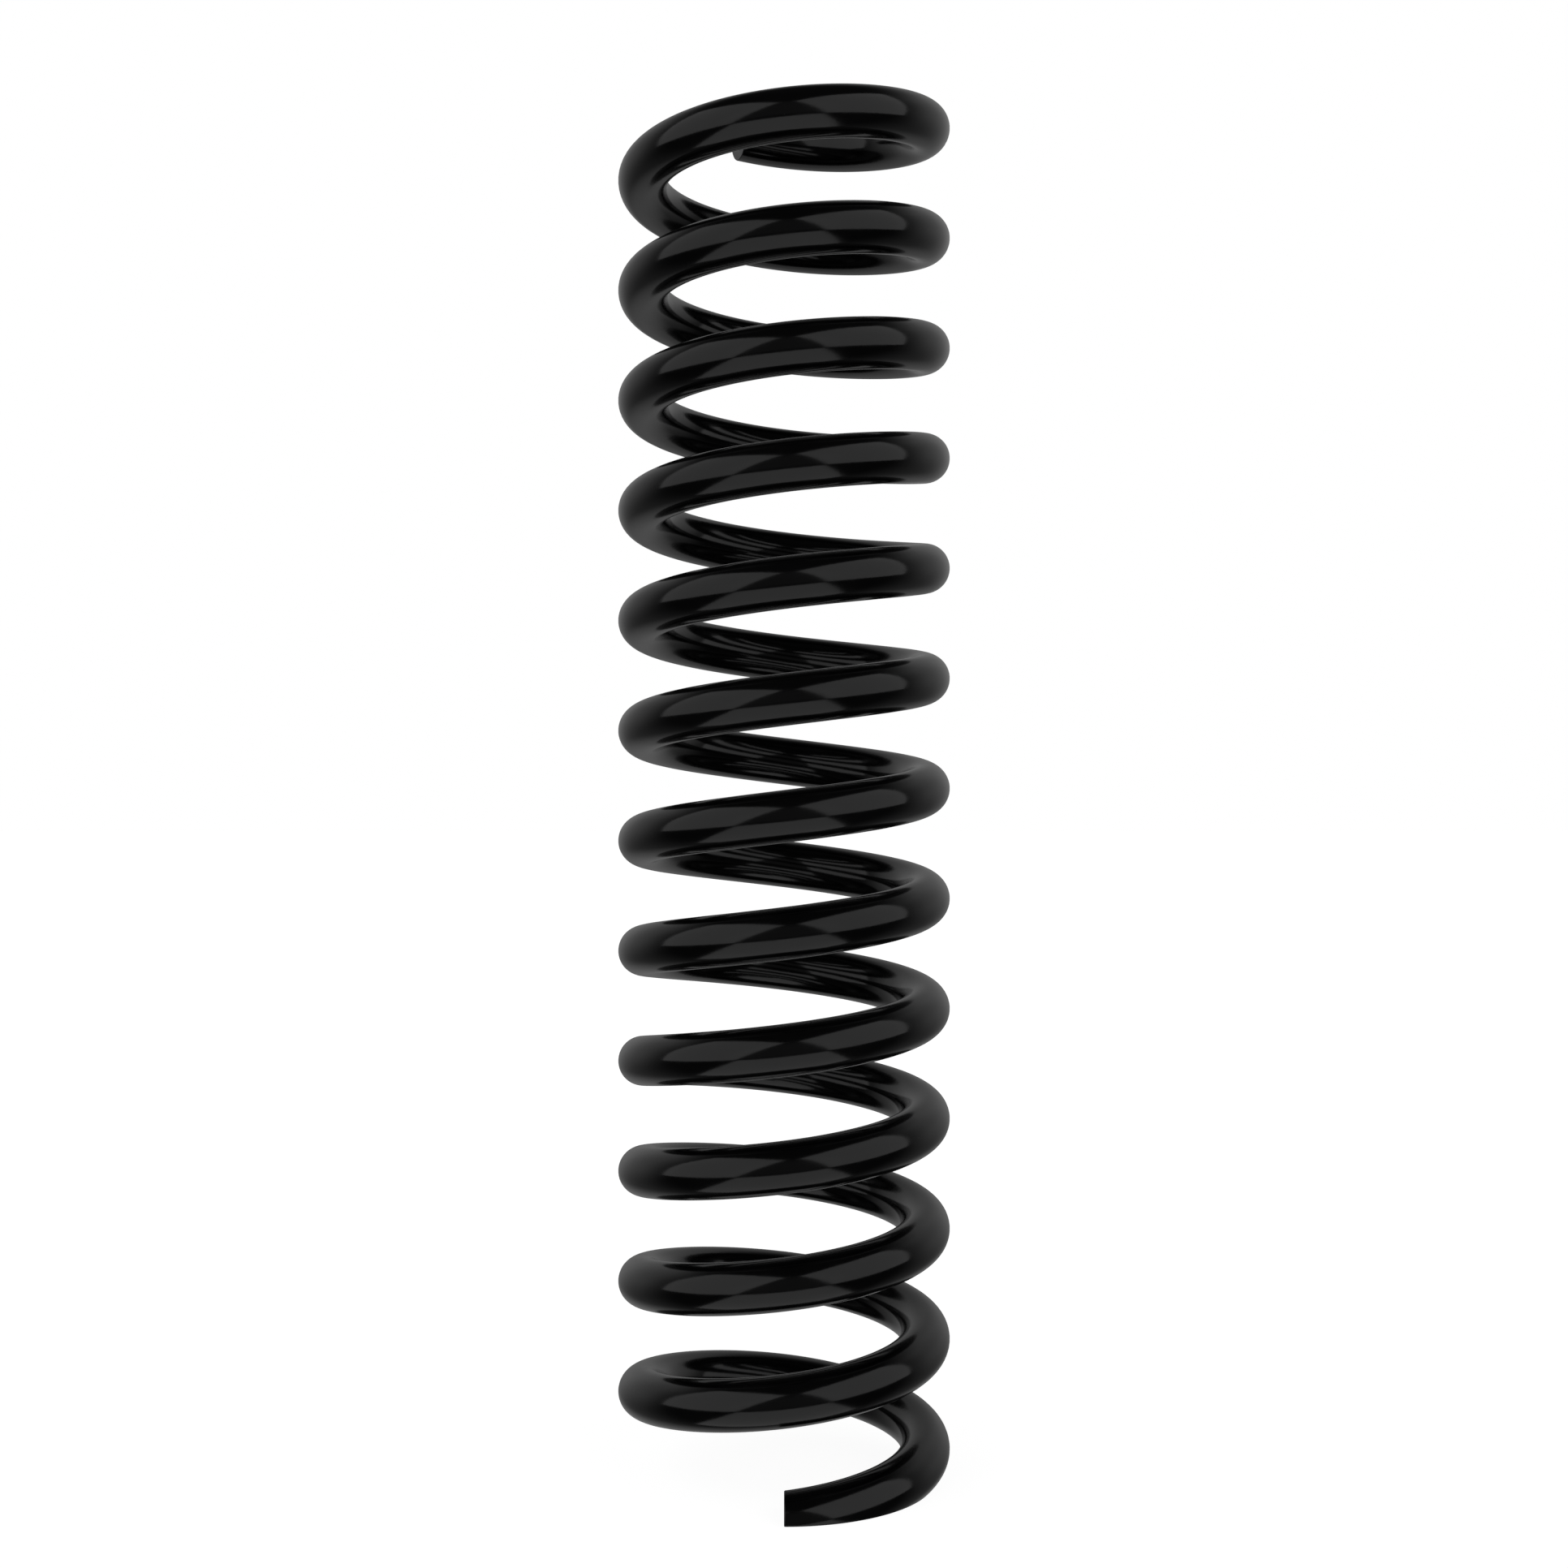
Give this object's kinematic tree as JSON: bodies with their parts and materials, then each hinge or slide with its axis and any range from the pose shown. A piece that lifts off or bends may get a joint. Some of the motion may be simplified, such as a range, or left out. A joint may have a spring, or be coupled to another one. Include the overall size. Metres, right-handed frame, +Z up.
{
  "type": "coil spring",
  "caption": "Cylindrical steel compression spring for a coil-over suspension unit, right-hand wound at an even pitch, with open ends ground flat and a gloss black coat.",
  "frame": {"origin": "on the spring's axis, in the plane of the lower ground face, where the lower spring seat bears", "axes": "+Z up the spring's axis to the upper ground face; the lower tip of the wire lies on -Y and the wire climbs from there towards +X"},
  "size_m": [0.0906, 0.0907, 0.376],
  "materials": {
    "gloss_black_coat": "gloss"
  },
  "bodies": {
    "lower_ground_end": {"lower_ground_end": "gloss_black_coat"},
    "turn_01_back_right": {"turn_01_back_right": "gloss_black_coat"},
    "turn_01_back_left": {"turn_01_back_left": "gloss_black_coat"},
    "turn_01_front_left": {"turn_01_front_left": "gloss_black_coat"},
    "turn_02_front_right": {"turn_02_front_right": "gloss_black_coat"},
    "turn_02_back_right": {"turn_02_back_right": "gloss_black_coat"},
    "turn_02_back_left": {"turn_02_back_left": "gloss_black_coat"},
    "turn_02_front_left": {"turn_02_front_left": "gloss_black_coat"},
    "turn_03_front_right": {"turn_03_front_right": "gloss_black_coat"},
    "turn_03_back_right": {"turn_03_back_right": "gloss_black_coat"},
    "turn_03_back_left": {"turn_03_back_left": "gloss_black_coat"},
    "turn_03_front_left": {"turn_03_front_left": "gloss_black_coat"},
    "turn_04_front_right": {"turn_04_front_right": "gloss_black_coat"},
    "turn_04_back_right": {"turn_04_back_right": "gloss_black_coat"},
    "turn_04_back_left": {"turn_04_back_left": "gloss_black_coat"},
    "turn_04_front_left": {"turn_04_front_left": "gloss_black_coat"},
    "turn_05_front_right": {"turn_05_front_right": "gloss_black_coat"},
    "turn_05_back_right": {"turn_05_back_right": "gloss_black_coat"},
    "turn_05_back_left": {"turn_05_back_left": "gloss_black_coat"},
    "turn_05_front_left": {"turn_05_front_left": "gloss_black_coat"},
    "turn_06_front_right": {"turn_06_front_right": "gloss_black_coat"},
    "turn_06_back_right": {"turn_06_back_right": "gloss_black_coat"},
    "turn_06_back_left": {"turn_06_back_left": "gloss_black_coat"},
    "turn_06_front_left": {"turn_06_front_left": "gloss_black_coat"},
    "turn_07_front_right": {"turn_07_front_right": "gloss_black_coat"},
    "turn_07_back_right": {"turn_07_back_right": "gloss_black_coat"},
    "turn_07_back_left": {"turn_07_back_left": "gloss_black_coat"},
    "turn_07_front_left": {"turn_07_front_left": "gloss_black_coat"},
    "turn_08_front_right": {"turn_08_front_right": "gloss_black_coat"},
    "turn_08_back_right": {"turn_08_back_right": "gloss_black_coat"},
    "turn_08_back_left": {"turn_08_back_left": "gloss_black_coat"},
    "turn_08_front_left": {"turn_08_front_left": "gloss_black_coat"},
    "turn_09_front_right": {"turn_09_front_right": "gloss_black_coat"},
    "turn_09_back_right": {"turn_09_back_right": "gloss_black_coat"},
    "turn_09_back_left": {"turn_09_back_left": "gloss_black_coat"},
    "turn_09_front_left": {"turn_09_front_left": "gloss_black_coat"},
    "turn_10_front_right": {"turn_10_front_right": "gloss_black_coat"},
    "turn_10_back_right": {"turn_10_back_right": "gloss_black_coat"},
    "turn_10_back_left": {"turn_10_back_left": "gloss_black_coat"},
    "turn_10_front_left": {"turn_10_front_left": "gloss_black_coat"},
    "turn_11_front_right": {"turn_11_front_right": "gloss_black_coat"},
    "turn_11_back_right": {"turn_11_back_right": "gloss_black_coat"},
    "turn_11_back_left": {"turn_11_back_left": "gloss_black_coat"},
    "turn_11_front_left": {"turn_11_front_left": "gloss_black_coat"},
    "turn_12_front_right": {"turn_12_front_right": "gloss_black_coat"},
    "turn_12_back_right": {"turn_12_back_right": "gloss_black_coat"},
    "turn_12_back_left": {"turn_12_back_left": "gloss_black_coat"},
    "turn_12_front_left": {"turn_12_front_left": "gloss_black_coat"},
    "turn_13_front_right": {"turn_13_front_right": "gloss_black_coat"},
    "upper_ground_end": {"upper_ground_end": "gloss_black_coat"}
  },
  "joints": [
    {"name": "turn_01_back_right_travel", "type": "slide", "parent": "lower_ground_end", "child": "turn_01_back_right", "axis": [0, 0, 1], "range_m": [-0.00378, 0]},
    {"name": "turn_01_back_left_travel", "type": "slide", "parent": "lower_ground_end", "child": "turn_01_back_left", "axis": [0, 0, 1], "range_m": [-0.00755, 0]},
    {"name": "turn_01_front_left_travel", "type": "slide", "parent": "lower_ground_end", "child": "turn_01_front_left", "axis": [0, 0, 1], "range_m": [-0.01133, 0]},
    {"name": "turn_02_front_right_travel", "type": "slide", "parent": "lower_ground_end", "child": "turn_02_front_right", "axis": [0, 0, 1], "range_m": [-0.0151, 0]},
    {"name": "turn_02_back_right_travel", "type": "slide", "parent": "lower_ground_end", "child": "turn_02_back_right", "axis": [0, 0, 1], "range_m": [-0.01888, 0]},
    {"name": "turn_02_back_left_travel", "type": "slide", "parent": "lower_ground_end", "child": "turn_02_back_left", "axis": [0, 0, 1], "range_m": [-0.02265, 0]},
    {"name": "turn_02_front_left_travel", "type": "slide", "parent": "lower_ground_end", "child": "turn_02_front_left", "axis": [0, 0, 1], "range_m": [-0.02643, 0]},
    {"name": "turn_03_front_right_travel", "type": "slide", "parent": "lower_ground_end", "child": "turn_03_front_right", "axis": [0, 0, 1], "range_m": [-0.0302, 0]},
    {"name": "turn_03_back_right_travel", "type": "slide", "parent": "lower_ground_end", "child": "turn_03_back_right", "axis": [0, 0, 1], "range_m": [-0.03398, 0]},
    {"name": "turn_03_back_left_travel", "type": "slide", "parent": "lower_ground_end", "child": "turn_03_back_left", "axis": [0, 0, 1], "range_m": [-0.03776, 0]},
    {"name": "turn_03_front_left_travel", "type": "slide", "parent": "lower_ground_end", "child": "turn_03_front_left", "axis": [0, 0, 1], "range_m": [-0.04153, 0]},
    {"name": "turn_04_front_right_travel", "type": "slide", "parent": "lower_ground_end", "child": "turn_04_front_right", "axis": [0, 0, 1], "range_m": [-0.04531, 0]},
    {"name": "turn_04_back_right_travel", "type": "slide", "parent": "lower_ground_end", "child": "turn_04_back_right", "axis": [0, 0, 1], "range_m": [-0.04908, 0]},
    {"name": "turn_04_back_left_travel", "type": "slide", "parent": "lower_ground_end", "child": "turn_04_back_left", "axis": [0, 0, 1], "range_m": [-0.05286, 0]},
    {"name": "turn_04_front_left_travel", "type": "slide", "parent": "lower_ground_end", "child": "turn_04_front_left", "axis": [0, 0, 1], "range_m": [-0.05663, 0]},
    {"name": "turn_05_front_right_travel", "type": "slide", "parent": "lower_ground_end", "child": "turn_05_front_right", "axis": [0, 0, 1], "range_m": [-0.06041, 0]},
    {"name": "turn_05_back_right_travel", "type": "slide", "parent": "lower_ground_end", "child": "turn_05_back_right", "axis": [0, 0, 1], "range_m": [-0.06418, 0]},
    {"name": "turn_05_back_left_travel", "type": "slide", "parent": "lower_ground_end", "child": "turn_05_back_left", "axis": [0, 0, 1], "range_m": [-0.06796, 0]},
    {"name": "turn_05_front_left_travel", "type": "slide", "parent": "lower_ground_end", "child": "turn_05_front_left", "axis": [0, 0, 1], "range_m": [-0.07173, 0]},
    {"name": "turn_06_front_right_travel", "type": "slide", "parent": "lower_ground_end", "child": "turn_06_front_right", "axis": [0, 0, 1], "range_m": [-0.07551, 0]},
    {"name": "turn_06_back_right_travel", "type": "slide", "parent": "lower_ground_end", "child": "turn_06_back_right", "axis": [0, 0, 1], "range_m": [-0.07929, 0]},
    {"name": "turn_06_back_left_travel", "type": "slide", "parent": "lower_ground_end", "child": "turn_06_back_left", "axis": [0, 0, 1], "range_m": [-0.08306, 0]},
    {"name": "turn_06_front_left_travel", "type": "slide", "parent": "lower_ground_end", "child": "turn_06_front_left", "axis": [0, 0, 1], "range_m": [-0.08684, 0]},
    {"name": "turn_07_front_right_travel", "type": "slide", "parent": "lower_ground_end", "child": "turn_07_front_right", "axis": [0, 0, 1], "range_m": [-0.09061, 0]},
    {"name": "turn_07_back_right_travel", "type": "slide", "parent": "lower_ground_end", "child": "turn_07_back_right", "axis": [0, 0, 1], "range_m": [-0.09439, 0]},
    {"name": "turn_07_back_left_travel", "type": "slide", "parent": "lower_ground_end", "child": "turn_07_back_left", "axis": [0, 0, 1], "range_m": [-0.09816, 0]},
    {"name": "turn_07_front_left_travel", "type": "slide", "parent": "lower_ground_end", "child": "turn_07_front_left", "axis": [0, 0, 1], "range_m": [-0.10194, 0]},
    {"name": "turn_08_front_right_travel", "type": "slide", "parent": "lower_ground_end", "child": "turn_08_front_right", "axis": [0, 0, 1], "range_m": [-0.10572, 0]},
    {"name": "turn_08_back_right_travel", "type": "slide", "parent": "lower_ground_end", "child": "turn_08_back_right", "axis": [0, 0, 1], "range_m": [-0.10949, 0]},
    {"name": "turn_08_back_left_travel", "type": "slide", "parent": "lower_ground_end", "child": "turn_08_back_left", "axis": [0, 0, 1], "range_m": [-0.11327, 0]},
    {"name": "turn_08_front_left_travel", "type": "slide", "parent": "lower_ground_end", "child": "turn_08_front_left", "axis": [0, 0, 1], "range_m": [-0.11704, 0]},
    {"name": "turn_09_front_right_travel", "type": "slide", "parent": "lower_ground_end", "child": "turn_09_front_right", "axis": [0, 0, 1], "range_m": [-0.12082, 0]},
    {"name": "turn_09_back_right_travel", "type": "slide", "parent": "lower_ground_end", "child": "turn_09_back_right", "axis": [0, 0, 1], "range_m": [-0.12459, 0]},
    {"name": "turn_09_back_left_travel", "type": "slide", "parent": "lower_ground_end", "child": "turn_09_back_left", "axis": [0, 0, 1], "range_m": [-0.12837, 0]},
    {"name": "turn_09_front_left_travel", "type": "slide", "parent": "lower_ground_end", "child": "turn_09_front_left", "axis": [0, 0, 1], "range_m": [-0.13214, 0]},
    {"name": "turn_10_front_right_travel", "type": "slide", "parent": "lower_ground_end", "child": "turn_10_front_right", "axis": [0, 0, 1], "range_m": [-0.13592, 0]},
    {"name": "turn_10_back_right_travel", "type": "slide", "parent": "lower_ground_end", "child": "turn_10_back_right", "axis": [0, 0, 1], "range_m": [-0.13969, 0]},
    {"name": "turn_10_back_left_travel", "type": "slide", "parent": "lower_ground_end", "child": "turn_10_back_left", "axis": [0, 0, 1], "range_m": [-0.14347, 0]},
    {"name": "turn_10_front_left_travel", "type": "slide", "parent": "lower_ground_end", "child": "turn_10_front_left", "axis": [0, 0, 1], "range_m": [-0.14724, 0]},
    {"name": "turn_11_front_right_travel", "type": "slide", "parent": "lower_ground_end", "child": "turn_11_front_right", "axis": [0, 0, 1], "range_m": [-0.15102, 0]},
    {"name": "turn_11_back_right_travel", "type": "slide", "parent": "lower_ground_end", "child": "turn_11_back_right", "axis": [0, 0, 1], "range_m": [-0.1548, 0]},
    {"name": "turn_11_back_left_travel", "type": "slide", "parent": "lower_ground_end", "child": "turn_11_back_left", "axis": [0, 0, 1], "range_m": [-0.15857, 0]},
    {"name": "turn_11_front_left_travel", "type": "slide", "parent": "lower_ground_end", "child": "turn_11_front_left", "axis": [0, 0, 1], "range_m": [-0.16235, 0]},
    {"name": "turn_12_front_right_travel", "type": "slide", "parent": "lower_ground_end", "child": "turn_12_front_right", "axis": [0, 0, 1], "range_m": [-0.16612, 0]},
    {"name": "turn_12_back_right_travel", "type": "slide", "parent": "lower_ground_end", "child": "turn_12_back_right", "axis": [0, 0, 1], "range_m": [-0.1699, 0]},
    {"name": "turn_12_back_left_travel", "type": "slide", "parent": "lower_ground_end", "child": "turn_12_back_left", "axis": [0, 0, 1], "range_m": [-0.17367, 0]},
    {"name": "turn_12_front_left_travel", "type": "slide", "parent": "lower_ground_end", "child": "turn_12_front_left", "axis": [0, 0, 1], "range_m": [-0.17745, 0]},
    {"name": "turn_13_front_right_travel", "type": "slide", "parent": "lower_ground_end", "child": "turn_13_front_right", "axis": [0, 0, 1], "range_m": [-0.18122, 0]},
    {"name": "compression", "type": "slide", "parent": "lower_ground_end", "child": "upper_ground_end", "axis": [0, 0, 1], "range_m": [-0.185, 0], "stiffness_N_per_m": 62000}
  ],
  "couplings": [
    {"joint": "turn_01_back_right_travel", "follows": "compression", "ratio": 0.020408},
    {"joint": "turn_01_back_left_travel", "follows": "compression", "ratio": 0.040816},
    {"joint": "turn_01_front_left_travel", "follows": "compression", "ratio": 0.061224},
    {"joint": "turn_02_front_right_travel", "follows": "compression", "ratio": 0.081633},
    {"joint": "turn_02_back_right_travel", "follows": "compression", "ratio": 0.10204},
    {"joint": "turn_02_back_left_travel", "follows": "compression", "ratio": 0.12245},
    {"joint": "turn_02_front_left_travel", "follows": "compression", "ratio": 0.14286},
    {"joint": "turn_03_front_right_travel", "follows": "compression", "ratio": 0.16326},
    {"joint": "turn_03_back_right_travel", "follows": "compression", "ratio": 0.18367},
    {"joint": "turn_03_back_left_travel", "follows": "compression", "ratio": 0.20408},
    {"joint": "turn_03_front_left_travel", "follows": "compression", "ratio": 0.22449},
    {"joint": "turn_04_front_right_travel", "follows": "compression", "ratio": 0.2449},
    {"joint": "turn_04_back_right_travel", "follows": "compression", "ratio": 0.26531},
    {"joint": "turn_04_back_left_travel", "follows": "compression", "ratio": 0.28571},
    {"joint": "turn_04_front_left_travel", "follows": "compression", "ratio": 0.30612},
    {"joint": "turn_05_front_right_travel", "follows": "compression", "ratio": 0.32653},
    {"joint": "turn_05_back_right_travel", "follows": "compression", "ratio": 0.34694},
    {"joint": "turn_05_back_left_travel", "follows": "compression", "ratio": 0.36735},
    {"joint": "turn_05_front_left_travel", "follows": "compression", "ratio": 0.38776},
    {"joint": "turn_06_front_right_travel", "follows": "compression", "ratio": 0.40816},
    {"joint": "turn_06_back_right_travel", "follows": "compression", "ratio": 0.42857},
    {"joint": "turn_06_back_left_travel", "follows": "compression", "ratio": 0.44898},
    {"joint": "turn_06_front_left_travel", "follows": "compression", "ratio": 0.46939},
    {"joint": "turn_07_front_right_travel", "follows": "compression", "ratio": 0.4898},
    {"joint": "turn_07_back_right_travel", "follows": "compression", "ratio": 0.5102},
    {"joint": "turn_07_back_left_travel", "follows": "compression", "ratio": 0.53061},
    {"joint": "turn_07_front_left_travel", "follows": "compression", "ratio": 0.55102},
    {"joint": "turn_08_front_right_travel", "follows": "compression", "ratio": 0.57143},
    {"joint": "turn_08_back_right_travel", "follows": "compression", "ratio": 0.59184},
    {"joint": "turn_08_back_left_travel", "follows": "compression", "ratio": 0.61225},
    {"joint": "turn_08_front_left_travel", "follows": "compression", "ratio": 0.63265},
    {"joint": "turn_09_front_right_travel", "follows": "compression", "ratio": 0.65306},
    {"joint": "turn_09_back_right_travel", "follows": "compression", "ratio": 0.67347},
    {"joint": "turn_09_back_left_travel", "follows": "compression", "ratio": 0.69388},
    {"joint": "turn_09_front_left_travel", "follows": "compression", "ratio": 0.71429},
    {"joint": "turn_10_front_right_travel", "follows": "compression", "ratio": 0.73469},
    {"joint": "turn_10_back_right_travel", "follows": "compression", "ratio": 0.7551},
    {"joint": "turn_10_back_left_travel", "follows": "compression", "ratio": 0.77551},
    {"joint": "turn_10_front_left_travel", "follows": "compression", "ratio": 0.79592},
    {"joint": "turn_11_front_right_travel", "follows": "compression", "ratio": 0.81633},
    {"joint": "turn_11_back_right_travel", "follows": "compression", "ratio": 0.83674},
    {"joint": "turn_11_back_left_travel", "follows": "compression", "ratio": 0.85714},
    {"joint": "turn_11_front_left_travel", "follows": "compression", "ratio": 0.87755},
    {"joint": "turn_12_front_right_travel", "follows": "compression", "ratio": 0.89796},
    {"joint": "turn_12_back_right_travel", "follows": "compression", "ratio": 0.91837},
    {"joint": "turn_12_back_left_travel", "follows": "compression", "ratio": 0.93878},
    {"joint": "turn_12_front_left_travel", "follows": "compression", "ratio": 0.95918},
    {"joint": "turn_13_front_right_travel", "follows": "compression", "ratio": 0.97959}
  ]
}
